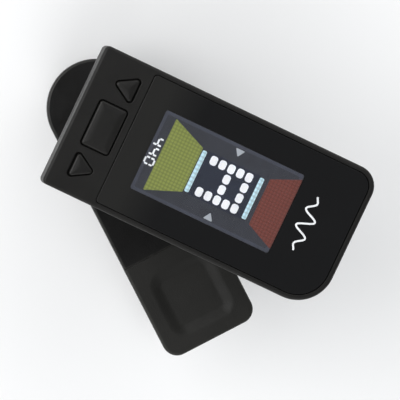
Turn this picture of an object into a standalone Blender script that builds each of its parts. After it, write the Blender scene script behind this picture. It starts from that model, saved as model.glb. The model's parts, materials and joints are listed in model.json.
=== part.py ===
"""Clip-on instrument tuner: a sprung clip, a turntable, a two-hinge arm and a display head.

Row frame: X along the clip's pin, Y along the clip towards the jaw tips, Z up. The rear jaw's
outer face lies on Z = 0 and the origin is on it, straight under the pin. The jaws are closed.
Each moving group hangs from an empty on its joint's axis and is modelled in that empty's frame.
"""

import math

import bmesh
import bpy
from mathutils import Matrix, Vector

MM = 0.001
FINE = 1e-6  # merge distance, in metres
GAP = 0.3 * MM  # air between two pieces that touch
RUNNING = 0.1 * MM  # radial clearance of a pin in its hole

# Clip
FRONT_WIDTH = 17.9 * MM
REAR_WIDTH = 14.7 * MM
FRONT_REACH = 32.0 * MM  # pin to the front jaw's tip
REAR_REACH = 29.2 * MM  # pin to the rear jaw's tip
LEVER_REACH = 24.0 * MM  # pin to lever end
LEVER_CORNER = 2.7 * MM
PADDLE = 2.4 * MM  # thickness of each jaw
PIN_TO_JAW = 8.0 * MM  # pin to the inner face of each jaw
PIN_RADIUS = 1.0 * MM
EAR_RADIUS = 2.8 * MM
EAR_FOOT = 11.0 * MM  # length of an ear where it meets the jaw
EAR_THICK = 1.5 * MM
REAR_EAR_X = 4.95 * MM  # middle of each of the rear jaw's ears, which stand inside
FRONT_EAR_X = 6.75 * MM  # middle of each of the front jaw's ears, which stand outside
PAD_TOP = 3.2 * MM  # pad face above the jaw
PAD_BACK = 14.5 * MM  # pin to the pad's straight end
PAD_INSET = 0.6 * MM
THUMB_INSET = 2.5 * MM
THUMB_DEPTH = 0.5 * MM
THUMB_LENGTH = 13.0 * MM
SPRING_WIRE = 0.45 * MM
SPRING_COIL = 2.2 * MM  # wire middle to the pin's axis
SPRING_TURNS = 5
SPRING_HALF = 3.2 * MM
SPRING_LEG = 15.0 * MM

# Turntable and arm
SWIVEL_Y = 18.5 * MM  # pin to the turntable's axis
SWIVEL_ANGLE = 37.25  # degrees from the lever to the head
BASE_RADIUS = 7.0 * MM
BASE_THICK = 2.0 * MM
BARREL = 2.5 * MM  # radius of the hinge barrels
AXIS_LIFT = 2.9 * MM  # hinge axis above the face that carries its ears
ARM_LENGTH = 9.5 * MM  # hinge to hinge
ARM_WIDTH = 5.6 * MM
HINGE_EAR_THICK = 2.4 * MM
HINGE_PIN = 0.9 * MM

# Display head, measured from its hinge: Y to the far end, Z out of the face
HEAD_LENGTH = 54.2 * MM
HEAD_WIDTH = 27.0 * MM
HEAD_THICK = 9.6 * MM
HINGE_INSET = 8.6 * MM  # hinge to the square end
SQUARE_CORNER = 0.9 * MM
FAR_CORNER_LEFT = 3.8 * MM
FAR_CORNER_RIGHT = 6.8 * MM
WALL = 1.2 * MM
SPLIT = 4.0 * MM  # rear cover to front bezel, above the back
CAVITY_TOP = 7.4 * MM
BUTTON_CAVITY_TOP = 8.2 * MM
LEDGE_TOP = 8.3 * MM  # the window's seat
RIM = 0.9 * MM  # the bezel's rim round the window
WINDOW_START = 10.0 * MM  # square end to the window plate
SCREEN_START = 14.6 * MM  # square end to the lit area
SCREEN_LENGTH = 27.3 * MM
SCREEN_WIDTH = 15.4 * MM
GLASS_MARGIN = 1.0 * MM  # the panel's glass outside its lit area

# Controls
BUTTON_MIDDLE = 5.9 * MM  # square end to the middle of the buttons
POWER_SIZE = (8.5 * MM, 5.2 * MM)
ARROW_SIZE = (4.8 * MM, 4.1 * MM)
ARROW_X = 8.1 * MM
BUTTON_PROUD = 0.5 * MM
BUTTON_CLEAR = 0.2 * MM
BUTTON_FLANGE = 0.5 * MM
BUTTON_BASE = 7.4 * MM  # underside of a button above the back

# Battery
CELL_RADIUS = 10.0 * MM
CELL_THICK = 3.2 * MM
CELL_Y = 24.0 * MM  # hinge to the cell's middle
CAP_RADIUS = 11.2 * MM
CAP_TURN = 30.0  # degrees from shut to where the tabs meet their notches
TAB_RADIUS = 12.0 * MM
TAB_SPAN = 22.0  # degrees

# Case screws, by place from the hinge
SCREW_PLACES = (
    (-10.7 * MM, 9.2 * MM),
    (10.7 * MM, 9.2 * MM),
    (-8.6 * MM, 41.0 * MM),
    (8.6 * MM, 41.0 * MM),
)
BOSS = 1.7 * MM
SCREW_HEAD = 1.4 * MM
SCREW_SHANK = 0.7 * MM

PIN_Z = PADDLE + PIN_TO_JAW
PAD_END = REAR_REACH - PAD_INSET
# Shut, the two pad faces stop a gap apart at the rear pad's tip
CLOSED_ANGLE = 2 * math.atan((PIN_TO_JAW - PAD_TOP - GAP / 2) / PAD_END)
BACK = AXIS_LIFT  # height of the head's back above its hinge
FACE = BACK + HEAD_THICK
HEAD_LOW = -HINGE_INSET
HEAD_HIGH = HEAD_LENGTH - HINGE_INSET

PARTS = "clip_on_tuner"
CUTTERS = "cutters"

MATERIALS = {  # name: colour, roughness, metallic
    "black_plastic": ((0.022, 0.022, 0.021), 0.55, 0.0),
    "clip_plastic": ((0.024, 0.024, 0.022), 0.6, 0.0),
    "button_plastic": ((0.02, 0.02, 0.019), 0.5, 0.0),
    "window_acrylic": ((0.01, 0.01, 0.011), 0.08, 0.0),
    "rubber": ((0.03, 0.03, 0.03), 0.85, 0.0),
    "steel": ((0.6, 0.6, 0.6), 0.3, 1.0),
    "brass": ((0.75, 0.55, 0.25), 0.35, 1.0),
    "lcd_glass": ((0.05, 0.06, 0.07), 0.1, 0.0),
    "white_plastic": ((0.8, 0.8, 0.78), 0.4, 0.0),
    "circuit_board": ((0.02, 0.14, 0.05), 0.5, 0.0),
    "chip_epoxy": ((0.015, 0.015, 0.015), 0.6, 0.0),
}


# Scene and outlines


def clear_scene():
    for obj in list(bpy.data.objects):
        bpy.data.objects.remove(obj)
    for name in (PARTS, CUTTERS):
        group = bpy.data.collections.new(name)
        bpy.context.scene.collection.children.link(group)


def make_materials():
    for name, (colour, roughness, metallic) in MATERIALS.items():
        material = bpy.data.materials.new(name)
        material.use_nodes = True
        shader = material.node_tree.nodes["Principled BSDF"]
        shader.inputs["Base Color"].default_value = (*colour, 1)
        shader.inputs["Roughness"].default_value = roughness
        shader.inputs["Metallic"].default_value = metallic


def empty(name, parent, location, rotation=(0, 0, 0)):
    obj = bpy.data.objects.new(name, None)
    obj.parent = parent
    obj.location = location
    obj.rotation_euler = rotation
    obj.empty_display_size = 5 * MM
    bpy.data.collections[PARTS].objects.link(obj)
    return obj


def arc(centre, radius, start, end, steps):
    """Points on an arc between two angles in degrees, both ends included."""
    turns = [math.radians(start + (end - start) * i / steps) for i in range(steps + 1)]
    return [
        (centre[0] + radius * math.cos(a), centre[1] + radius * math.sin(a)) for a in turns
    ]


def circle(centre, radius, steps=24):
    return arc(centre, radius, 0, 360, steps)[:-1]


def rounded(corners, steps=5):
    """A closed outline through (x, y, radius) corners, listed anticlockwise, each one rounded."""
    points = []
    for i, (x, y, radius) in enumerate(corners):
        here = Vector((x, y))
        before = (Vector(corners[i - 1][:2]) - here).normalized()
        after = (Vector(corners[(i + 1) % len(corners)][:2]) - here).normalized()
        half = before.angle(after) / 2
        middle = here + (before + after).normalized() * radius / math.sin(half)
        first = here + before * radius / math.tan(half) - middle
        start = math.degrees(math.atan2(first.y, first.x))
        sweep = 180 - math.degrees(2 * half)
        points += arc(middle, radius, start, start + sweep, steps)
    return points


def rectangle(width, height, radius, middle=(0, 0), steps=4):
    x, y = width / 2, height / 2
    places = ((-x, -y), (x, -y), (x, y), (-x, y))
    return rounded([(middle[0] + a, middle[1] + b, radius) for a, b in places], steps)


def arrow(width, height, radius, up):
    """A triangle pointing along +Y, or along -Y, centred on its box."""
    x, y = width / 2, height / 2
    corners = [(-x, -y), (x, -y), (0, y)] if up else [(-x, y), (0, -y), (x, y)]
    return rounded([(a, b, radius) for a, b in corners], 3)


def head_outline(inset=0.0, start=0.0, front=SQUARE_CORNER):
    """The head's plan, drawn in by inset, beginning at start from the square end."""
    x = HEAD_WIDTH / 2 - inset
    low, high = HEAD_LOW + max(start, inset), HEAD_HIGH - inset
    near = max(front - inset, 0.4 * MM)
    left, right = FAR_CORNER_LEFT - inset, FAR_CORNER_RIGHT - inset
    return rounded([(-x, low, near), (x, low, near), (x, high, right), (-x, high, left)], 7)


def paddle_outline(width, reach):
    """A jaw's plan: a lever with two small corners, and a round jaw tip."""
    x = width / 2
    lever = rounded([(-x, -LEVER_REACH, LEVER_CORNER), (x, -LEVER_REACH, LEVER_CORNER),
                     (0, 0, FINE)], 5)[:12]
    return lever + arc((0, reach - x), x, 0, 180, 22)


# Solids


def add(name, mesh, parent, material, group=PARTS):
    obj = bpy.data.objects.new(name, mesh)
    obj.parent = parent
    if material:
        mesh.materials.clear()
        mesh.materials.append(bpy.data.materials[material])
    mesh.shade_smooth()
    mesh.set_sharp_from_angle(angle=math.radians(35))
    bpy.data.collections[group].objects.link(obj)
    return obj


def curve_mesh(curve):
    """A curve's mesh, with its caps welded on."""
    holder = bpy.data.objects.new("outline", curve)
    bpy.data.collections[CUTTERS].objects.link(holder)
    ready = holder.evaluated_get(bpy.context.evaluated_depsgraph_get())
    mesh = bpy.data.meshes.new_from_object(ready)
    bpy.data.objects.remove(holder)
    shape = bmesh.new()
    shape.from_mesh(mesh)
    bmesh.ops.remove_doubles(shape, verts=shape.verts, dist=FINE)
    bmesh.ops.recalc_face_normals(shape, faces=shape.faces)
    shape.to_mesh(mesh)
    shape.free()
    return mesh


def plate_mesh(loops, low, high):
    """A flat outline, with any holes after it, from one height to another."""
    curve = bpy.data.curves.new("outline", "CURVE")
    curve.dimensions = "2D"
    curve.fill_mode = "BOTH"
    curve.extrude = (high - low) / 2
    for loop in loops:
        spline = curve.splines.new("POLY")
        spline.points.add(len(loop) - 1)
        for point, (x, y) in zip(spline.points, loop):
            point.co = (x, y, 0, 1)
        spline.use_cyclic_u = True
    mesh = curve_mesh(curve)
    mesh.transform(Matrix.Translation((0, 0, (low + high) / 2)))
    return mesh


ACROSS = Matrix(((0, 0, 1, 0), (1, 0, 0, 0), (0, 1, 0, 0), (0, 0, 0, 1)))  # plan XY to side YZ


def plate(name, loops, low, high, parent, material=None, group=PARTS, across=False):
    mesh = plate_mesh(loops, low, high)
    if across:
        mesh.transform(ACROSS)
    return add(name, mesh, parent, material, group)


def turned_mesh(profile, steps=24):
    """A profile of (radius, height) points, running down its outer side, turned about Z."""
    outline = bpy.data.meshes.new("profile")
    edges = [(i, i + 1) for i in range(len(profile) - 1)]
    outline.from_pydata([(r, 0, z) for r, z in profile], edges, [])
    holder = bpy.data.objects.new("profile", outline)
    bpy.data.collections[CUTTERS].objects.link(holder)
    screw = holder.modifiers.new("turn", "SCREW")
    screw.steps = screw.render_steps = steps
    screw.use_merge_vertices = True
    screw.merge_threshold = FINE
    ready = holder.evaluated_get(bpy.context.evaluated_depsgraph_get())
    mesh = bpy.data.meshes.new_from_object(ready)
    bpy.data.objects.remove(holder)
    return mesh


def turned(name, profile, parent, material=None, group=PARTS, across=False, steps=24):
    mesh = turned_mesh(profile, steps)
    if across:
        mesh.transform(ACROSS)
    return add(name, mesh, parent, material, group)


def rod(radius, low, high):
    """The profile of a plain cylinder."""
    return [(0, high), (radius, high), (radius, low), (0, low)]


def hide_cutter(obj):
    obj.hide_render = True
    obj.display_type = "WIRE"


def combine(obj, tool, operation):
    hide_cutter(tool)
    step = obj.modifiers.new(operation.lower(), "BOOLEAN")
    step.operation = operation
    step.solver = "EXACT"
    step.object = tool


def join(obj, tool):
    combine(obj, tool, "UNION")


def cut(obj, tool):
    combine(obj, tool, "DIFFERENCE")


def soften(obj, width, segments=2):
    """Rounds the sharp edges that a piece has before its cuts."""
    bevel = obj.modifiers.new("edges", "BEVEL")
    bevel.width = width
    bevel.segments = segments
    bevel.limit_method = "ANGLE"
    bevel.angle_limit = math.radians(50)


def pin(name, radius, half, parent, head=0.0, head_thick=0.0):
    """A pin about X, with a peened head outside each end if it has one."""
    if head:
        end = half + head_thick
        profile = [(0, end), (head * 0.8, end), (head, half + head_thick / 2), (head, half),
                   (radius, half), (radius, -half), (head, -half),
                   (head, -half - head_thick / 2), (head * 0.8, -end), (0, -end)]
    else:
        chamfer = radius * 0.25
        profile = [(0, half), (radius - chamfer, half), (radius, half - chamfer),
                   (radius, chamfer - half), (radius - chamfer, -half), (0, -half)]
    return turned(name, profile, parent, "steel", across=True)


# Clip


def jaw(name, parent, side, width, reach, ear_x):
    """One jaw in a frame on the pin; side is 1 where it lies above the pin and -1 below."""
    faces = sorted((side * PIN_TO_JAW, side * (PIN_TO_JAW + PADDLE)))
    body = plate(name, [paddle_outline(width, reach)], *faces, parent, "clip_plastic")
    soften(body, 0.6 * MM)
    foot = side * (PIN_TO_JAW + PADDLE / 2)
    base = [(EAR_FOOT / 2, foot), (-EAR_FOOT / 2, foot)]
    tip = arc((0, 0), EAR_RADIUS, 170, 370, 12)
    if side < 0:
        base, tip = base[::-1], arc((0, 0), EAR_RADIUS, -10, 190, 12)
    for sign in (-1, 1):
        low = sign * ear_x - EAR_THICK / 2
        hole = circle((0, 0), PIN_RADIUS + RUNNING, 20)
        ear = plate(f"{name}_ear", [base + tip, hole], low, low + EAR_THICK, parent,
                    group=CUTTERS, across=True)
        join(body, ear)
    middle = THUMB_INSET + THUMB_LENGTH / 2 - LEVER_REACH
    recess = rectangle(width - 2 * THUMB_INSET, THUMB_LENGTH, LEVER_CORNER, (0, middle))
    outer = side * (PIN_TO_JAW + PADDLE)
    levels = sorted((outer - side * THUMB_DEPTH, outer + side * THUMB_DEPTH))
    cut(body, plate(f"{name}_thumb", [recess], *levels, parent, group=CUTTERS))
    return body


def pad(name, parent, side, width, reach):
    """A rubber pad on a jaw's inner face, straight behind and round in front."""
    x = width / 2 - PAD_INSET
    back = rounded([(-x, PAD_BACK, 1.2 * MM), (x, PAD_BACK, 1.2 * MM), (0, reach, FINE)],
                   4)[:10]
    outline = back + arc((0, reach - width / 2), x, 0, 180, 20)
    levels = sorted((side * (PIN_TO_JAW - GAP), side * (PIN_TO_JAW - PAD_TOP)))
    return soften(plate(name, [outline], *levels, parent, "rubber"), 0.3 * MM, 1)


def torsion_spring(root):
    """A coil round the pin with one leg under each lever."""
    shut = CLOSED_ANGLE
    reach = PIN_TO_JAW - GAP - SPRING_WIRE  # a leg's tip from the plane of the pin
    straight = math.hypot(SPRING_LEG, SPRING_COIL)
    leg_rise = math.asin(reach / straight) - math.atan(SPRING_COIL / SPRING_LEG)
    rear_angle = math.pi + leg_rise
    front_angle = math.pi - leg_rise - shut
    start, end = rear_angle + math.pi / 2, front_angle - math.pi / 2
    sweep = end - start - 2 * math.pi * SPRING_TURNS
    count = 12 * SPRING_TURNS
    points = []
    for i in range(count + 1):
        share = i / count
        angle = start + sweep * share
        x = SPRING_HALF * (2 * share - 1)
        points.append((x, SPRING_COIL * math.cos(angle), SPRING_COIL * math.sin(angle)))
    for index, angle in ((0, rear_angle), (-1, front_angle)):
        x, y, z = points[index]
        tip = (x, y + SPRING_LEG * math.cos(angle), z + SPRING_LEG * math.sin(angle))
        points.insert(0 if index == 0 else len(points), tip)
    curve = bpy.data.curves.new("spring", "CURVE")
    curve.dimensions = "3D"
    curve.bevel_depth = SPRING_WIRE
    curve.bevel_resolution = 2
    curve.use_fill_caps = True
    spline = curve.splines.new("POLY")
    spline.points.add(len(points) - 1)
    for point, place in zip(spline.points, points):
        point.co = (*place, 1)
    return add("torsion_spring", curve_mesh(curve), root, "steel")


# Turntable and arm


def hinge_ears(name, parent, base_z, side):
    """Two ears about the X axis; side is 1 where they stand on a face below the axis."""
    foot = base_z - side * 0.4 * MM
    ears = []
    for sign in (-1, 1):
        low = sign * (ARM_WIDTH / 2 + GAP + HINGE_EAR_THICK / 2) - HINGE_EAR_THICK / 2
        tip = arc((0, 0), BARREL, 0, 180, 12)
        base = [(-BARREL, foot), (BARREL, foot)]
        if side < 0:
            tip, base = arc((0, 0), BARREL, 180, 360, 12), base[::-1]
        hole = circle((0, 0), HINGE_PIN + RUNNING, 20)
        ears.append(plate(f"{name}_ear", [tip + base, hole], low, low + HINGE_EAR_THICK,
                          parent, group=CUTTERS, across=True))
    return ears


def turntable(swivel, arm_axis):
    low, high = GAP, GAP + BASE_THICK
    edge = 0.5 * MM
    profile = [(0, high), (BASE_RADIUS - edge, high), (BASE_RADIUS, high - edge),
               (BASE_RADIUS, low), (0, low)]
    base = turned("swivel_base", profile, swivel, "black_plastic", steps=36)
    for ear in hinge_ears("swivel_base", arm_axis, -AXIS_LIFT, 1):
        join(base, ear)
    bore = rod(1.4 * MM + RUNNING, low - GAP, high - 0.5 * MM)
    cut(base, turned("swivel_bore", bore, swivel, group=CUTTERS))
    return base


def swivel_screw(swivel):
    """A shoulder screw from inside the jaw into the turntable, and its spring washer."""
    top = GAP + BASE_THICK - 0.7 * MM
    head_top, head_low = -1.6 * MM, -2.2 * MM
    profile = [(0, top), (1.4 * MM, top), (1.4 * MM, head_top), (2.9 * MM, head_top),
               (2.9 * MM, head_low), (0.9 * MM, head_low), (0.9 * MM, head_low + 0.3 * MM),
               (0, head_low + 0.3 * MM)]
    turned("swivel_screw", profile, swivel, "steel")
    loops = [circle((0, 0), 2.8 * MM), circle((0, 0), 1.6 * MM)]
    plate("swivel_washer", loops, head_top + 0.1 * MM, head_top + 0.4 * MM, swivel, "steel")


def hinge_arm(arm_axis):
    """A link with a pin hole at each end."""
    lower, upper = (0, 0), (0, ARM_LENGTH)
    outline = arc(lower, BARREL, 180, 360, 12) + arc(upper, BARREL, 0, 180, 12)
    holes = [circle(centre, HINGE_PIN + RUNNING, 20) for centre in (lower, upper)]
    arm = plate("hinge_arm", [outline, *holes], -ARM_WIDTH / 2, ARM_WIDTH / 2, arm_axis,
                "black_plastic", across=True)
    soften(arm, 0.25 * MM, 1)


# Display head


def head_plate(name, loops, low, high, head, material=None, group=PARTS):
    """A plate between two heights above the head's back."""
    return plate(name, loops, BACK + low, BACK + high, head, material, group)


def head_turned(name, profile, place, head, material=None, group=PARTS, steps=24):
    """A turned piece whose heights are above the head's back."""
    raised = [(radius, BACK + height) for radius, height in profile]
    mesh = turned_mesh(raised, steps)
    mesh.transform(Matrix.Translation((*place, 0)))
    return add(name, mesh, head, material, group)


def screen_outline(margin, radius=0.5 * MM):
    middle = HEAD_LOW + SCREEN_START + SCREEN_LENGTH / 2
    return rectangle(SCREEN_WIDTH + 2 * margin, SCREEN_LENGTH + 2 * margin, radius, (0, middle))


def button_plans():
    """Each button's name, place and outline maker, which takes how far to grow the outline."""
    y = HEAD_LOW + BUTTON_MIDDLE
    width, height = POWER_SIZE
    wide, tall = ARROW_SIZE
    return {
        "power_button": ((0, y), lambda g: rectangle(width + 2 * g, height + 2 * g, 0.5 * MM)),
        "down_button": ((-ARROW_X, y), lambda g: arrow(wide + 4 * g, tall + 3 * g, 0.4 * MM, False)),
        "up_button": ((ARROW_X, y), lambda g: arrow(wide + 4 * g, tall + 3 * g, 0.4 * MM, True)),
    }


def moved(outline, place):
    return [(x + place[0], y + place[1]) for x, y in outline]


def front_bezel(head):
    body = head_plate("front_bezel", [head_outline()], SPLIT, HEAD_THICK, head, "black_plastic")
    soften(body, 0.5 * MM)
    hollow = head_outline(WALL)
    cut(body, head_plate("bezel_cavity", [hollow], SPLIT - 1 * MM, CAVITY_TOP, head,
                         group=CUTTERS))
    depth = 11.0 * MM
    keys = rectangle(HEAD_WIDTH - 2 * WALL - 0.4 * MM, depth, 0.5 * MM,
                     (0, HEAD_LOW + WALL + 0.2 * MM + depth / 2))
    cut(body, head_plate("bezel_key_space", [keys], SPLIT, BUTTON_CAVITY_TOP, head,
                         group=CUTTERS))
    window = head_outline(RIM, WINDOW_START, 0.8 * MM)
    cut(body, head_plate("bezel_window_seat", [window], LEDGE_TOP, HEAD_THICK + 1 * MM, head,
                         group=CUTTERS))
    cut(body, head_plate("bezel_screen_hole", [screen_outline(GLASS_MARGIN + GAP)],
                         SPLIT, HEAD_THICK, head, group=CUTTERS))
    for name, (place, outline) in button_plans().items():
        hole = moved(outline(BUTTON_CLEAR), place)
        cut(body, head_plate(f"{name}_hole", [hole], SPLIT, HEAD_THICK + 1 * MM, head,
                             group=CUTTERS))
    for place in SCREW_PLACES:
        boss = rod(BOSS, SPLIT + 0.1 * MM, CAVITY_TOP + 0.3 * MM)
        join(body, head_turned("bezel_boss", boss, place, head, group=CUTTERS, steps=16))
    for place in SCREW_PLACES:
        pilot = rod(SCREW_SHANK + RUNNING, SPLIT - 1 * MM, CAVITY_TOP - 0.6 * MM)
        cut(body, head_turned("bezel_pilot", pilot, place, head, group=CUTTERS, steps=16))


def cap_outline():
    """The rear cover's battery hole: a circle with a notch for each tab, at the unlocked turn."""
    points = []
    room = 1.5
    for tab in range(3):
        middle = 90 + tab * 120 - CAP_TURN
        half = TAB_SPAN / 2 + room
        points += arc((0, CELL_Y), TAB_RADIUS + 0.2 * MM, middle - half, middle + half, 4)
        points += arc((0, CELL_Y), CAP_RADIUS + 0.25 * MM, middle + half + 0.5,
                      middle + 120 - half - 0.5, 12)
    return points


def rear_cover(head):
    body = head_plate("rear_cover", [head_outline()], 0, SPLIT - GAP, head, "black_plastic")
    soften(body, 0.7 * MM)
    cut(body, head_plate("cover_cavity", [head_outline(WALL)], WALL, SPLIT + 1 * MM, head,
                         group=CUTTERS))
    for ear in hinge_ears("rear_cover", head, BACK, -1):
        join(body, ear)
    for place in SCREW_PLACES:
        pillar = rod(BOSS + 0.2 * MM, WALL / 2, SPLIT - GAP - 0.1 * MM)
        join(body, head_turned("cover_pillar", pillar, place, head, group=CUTTERS, steps=16))
    for place in SCREW_PLACES:
        seat = [(0, SPLIT + 1 * MM), (SCREW_SHANK + RUNNING, SPLIT + 1 * MM),
                (SCREW_SHANK + RUNNING, 1.5 * MM), (SCREW_HEAD + RUNNING, 1.5 * MM),
                (SCREW_HEAD + RUNNING, -1 * MM), (0, -1 * MM)]
        cut(body, head_turned("cover_screw_seat", seat, place, head, group=CUTTERS, steps=16))
    cut(body, head_plate("cover_battery_hole", [cap_outline()], -1 * MM, WALL + 0.5 * MM, head,
                         group=CUTTERS))


def case_screws(head):
    low, neck, end = 0.3 * MM, 1.3 * MM, 6.4 * MM
    profile = [(0, end), (SCREW_SHANK * 0.4, end), (SCREW_SHANK, end - 0.5 * MM),
               (SCREW_SHANK, neck), (SCREW_HEAD, neck), (SCREW_HEAD, low), (0, low)]
    for number, place in enumerate(SCREW_PLACES, 1):
        screw = head_turned(f"case_screw_{number}", profile, place, head, "steel", steps=16)
        for turn in (0, 90):
            slot = rectangle(1.6 * MM, 0.35 * MM, 0.05 * MM, steps=1)
            mesh = plate_mesh([slot], BACK, BACK + low + 0.45 * MM)
            mesh.transform(Matrix.Translation((*place, 0)) @ Matrix.Rotation(
                math.radians(turn), 4, "Z"))
            cut(screw, add("screw_slot", mesh, head, None, CUTTERS))


def buttons(head):
    """Each button hangs in its hole by a flange and stands proud of the face."""
    for name, (place, outline) in button_plans().items():
        axis = empty(f"{name}_axis", head, (*place, BACK + BUTTON_BASE))
        flange = 0.5 * MM
        top = HEAD_THICK + BUTTON_PROUD - BUTTON_BASE
        button = plate(name, [outline(0)], 0, top, axis, "button_plastic")
        soften(button, 0.25 * MM)
        join(button, plate(f"{name}_flange", [outline(BUTTON_FLANGE)], 0.01 * MM, flange, axis,
                           group=CUTTERS))
        switch(name.replace("button", "switch"), place, head)


def switch(name, place, head):
    """A flat tact switch on the board, under its button."""
    body = head_plate(name, [rectangle(3.2 * MM, 2.6 * MM, 0.2 * MM, place, 1)],
                      6.5 * MM, 6.9 * MM, head, "chip_epoxy")
    dome = [(0, 7.05 * MM), (0.7 * MM, 7.05 * MM), (0.8 * MM, 6.8 * MM), (0, 6.8 * MM)]
    join(body, head_turned(f"{name}_dome", dome, place, head, group=CUTTERS, steps=12))


def battery_cap(head):
    """A round cap with a coin slot, held by three tabs under the cover's floor."""
    axis = empty("battery_cap_axis", head, (0, CELL_Y, BACK))
    ring, under = CAP_RADIUS - 0.9 * MM, WALL + 1.0 * MM
    profile = [(0, WALL), (ring, WALL), (ring, under), (CAP_RADIUS, under),
               (CAP_RADIUS, 0.3 * MM), (CAP_RADIUS - 0.3 * MM, 0), (0, 0)]
    cap = turned("battery_cap", profile, axis, "black_plastic", steps=40)
    for tab in range(3):
        middle = 90 + tab * 120
        inner = arc((0, 0), CAP_RADIUS - 0.4 * MM, middle + TAB_SPAN / 2, middle - TAB_SPAN / 2, 4)
        outer = arc((0, 0), TAB_RADIUS, middle - TAB_SPAN / 2, middle + TAB_SPAN / 2, 4)
        join(cap, plate("cap_tab", [outer + inner], WALL + GAP, under - 0.05 * MM, axis,
                        group=CUTTERS))
    slot = rectangle(11.0 * MM, 1.8 * MM, 0.85 * MM, steps=5)
    cut(cap, plate("cap_slot", [slot], -1 * MM, 0.7 * MM, axis, group=CUTTERS))


def coin_cell(head):
    low = WALL + GAP
    high = low + CELL_THICK
    edge, step = 0.4 * MM, 0.7 * MM
    profile = [(0, high), (CELL_RADIUS - 2 * step, high), (CELL_RADIUS - 2 * step, high - edge),
               (CELL_RADIUS - edge, high - edge), (CELL_RADIUS, high - 2 * edge),
               (CELL_RADIUS, low + edge), (CELL_RADIUS - edge, low), (0, low)]
    head_turned("coin_cell", profile, (0, CELL_Y), head, "steel", steps=36)


def contacts(head):
    spring = rectangle(3.0 * MM, 12.0 * MM, 0.5 * MM, (0, CELL_Y))
    head_plate("battery_contact_minus", [spring], 4.95 * MM, 5.2 * MM, head, "brass")
    near, far, thick = CELL_RADIUS + GAP, CELL_RADIUS + 1.9 * MM, 0.25 * MM
    low, high, span = BACK + 2.6 * MM, BACK + 5.2 * MM, 4.0 * MM
    bent = [(-near, low), (-near, high), (-far, high), (-far, high - thick),
            (-near - thick, high - thick), (-near - thick, low)]
    mesh = plate_mesh([bent], -span / 2, span / 2)
    mesh.transform(Matrix.Translation((0, CELL_Y, 0)) @ Matrix.Rotation(math.pi / 2, 4, "X"))
    add("battery_contact_plus", mesh, head, "brass")


def circuit(head):
    """The board, with notches round the case screws, and what is soldered to it."""
    x = HEAD_WIDTH / 2 - WALL - GAP
    low, high = HEAD_LOW + WALL + GAP, HEAD_HIGH - WALL - GAP
    notch_x, notch = SCREW_PLACES[1][0] - BOSS - GAP, BOSS + GAP
    notch_y = SCREW_PLACES[1][1]
    far_y = SCREW_PLACES[2][1] - BOSS - GAP
    right = [(x, low), (x, notch_y - notch), (notch_x, notch_y - notch),
             (notch_x, notch_y + notch), (x, notch_y + notch), (x, far_y)]
    outline = right + [(-a, b) for a, b in reversed(right)]
    tail = SCREW_PLACES[3][0] - BOSS - 2 * GAP
    outline[6:6] = [(tail, far_y), (tail, high), (-tail, high), (-tail, far_y)]
    head_plate("main_pcb", [outline], 5.5 * MM, 6.3 * MM, head, "circuit_board")
    chip = rectangle(5.0 * MM, 5.0 * MM, 0.2 * MM, (0, 5.0 * MM), 1)
    head_plate("tuner_chip", [chip], 4.3 * MM, 5.3 * MM, head, "chip_epoxy")
    can = rectangle(5.2 * MM, 1.8 * MM, 0.85 * MM, (6.2 * MM, -1.5 * MM))
    head_plate("quartz_crystal", [can], 4.0 * MM, 5.3 * MM, head, "steel")
    disc = rod(5.0 * MM, WALL + GAP, WALL + GAP + 0.4 * MM)
    head_turned("piezo_sensor", disc, (0, 2.5 * MM), head, "brass", steps=28)


def display(head):
    head_plate("lcd_panel", [screen_outline(GLASS_MARGIN)], 7.5 * MM, 8.1 * MM, head,
               "lcd_glass")
    middle = HEAD_LOW + SCREEN_START + SCREEN_LENGTH / 2 + 0.9 * MM
    light = rectangle(SCREEN_WIDTH + 1.4 * MM, SCREEN_LENGTH + 0.6 * MM, 0.5 * MM, (0, middle))
    head_plate("backlight", [light], 6.6 * MM, 7.2 * MM, head, "white_plastic")
    strip_y = HEAD_LOW + SCREEN_START - 0.6 * MM
    strip = rectangle(14.0 * MM, 1.2 * MM, 0.2 * MM, (0, strip_y), 1)
    head_plate("lcd_connector", [strip], 6.6 * MM, 7.3 * MM, head, "rubber")
    window = head_outline(RIM + 0.15 * MM, WINDOW_START + 0.15 * MM, 1.6 * MM)
    glass = head_plate("display_window", [window], LEDGE_TOP + 0.2 * MM, HEAD_THICK - 0.15 * MM,
                       head, "window_acrylic")
    soften(glass, 0.15 * MM, 1)


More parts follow.
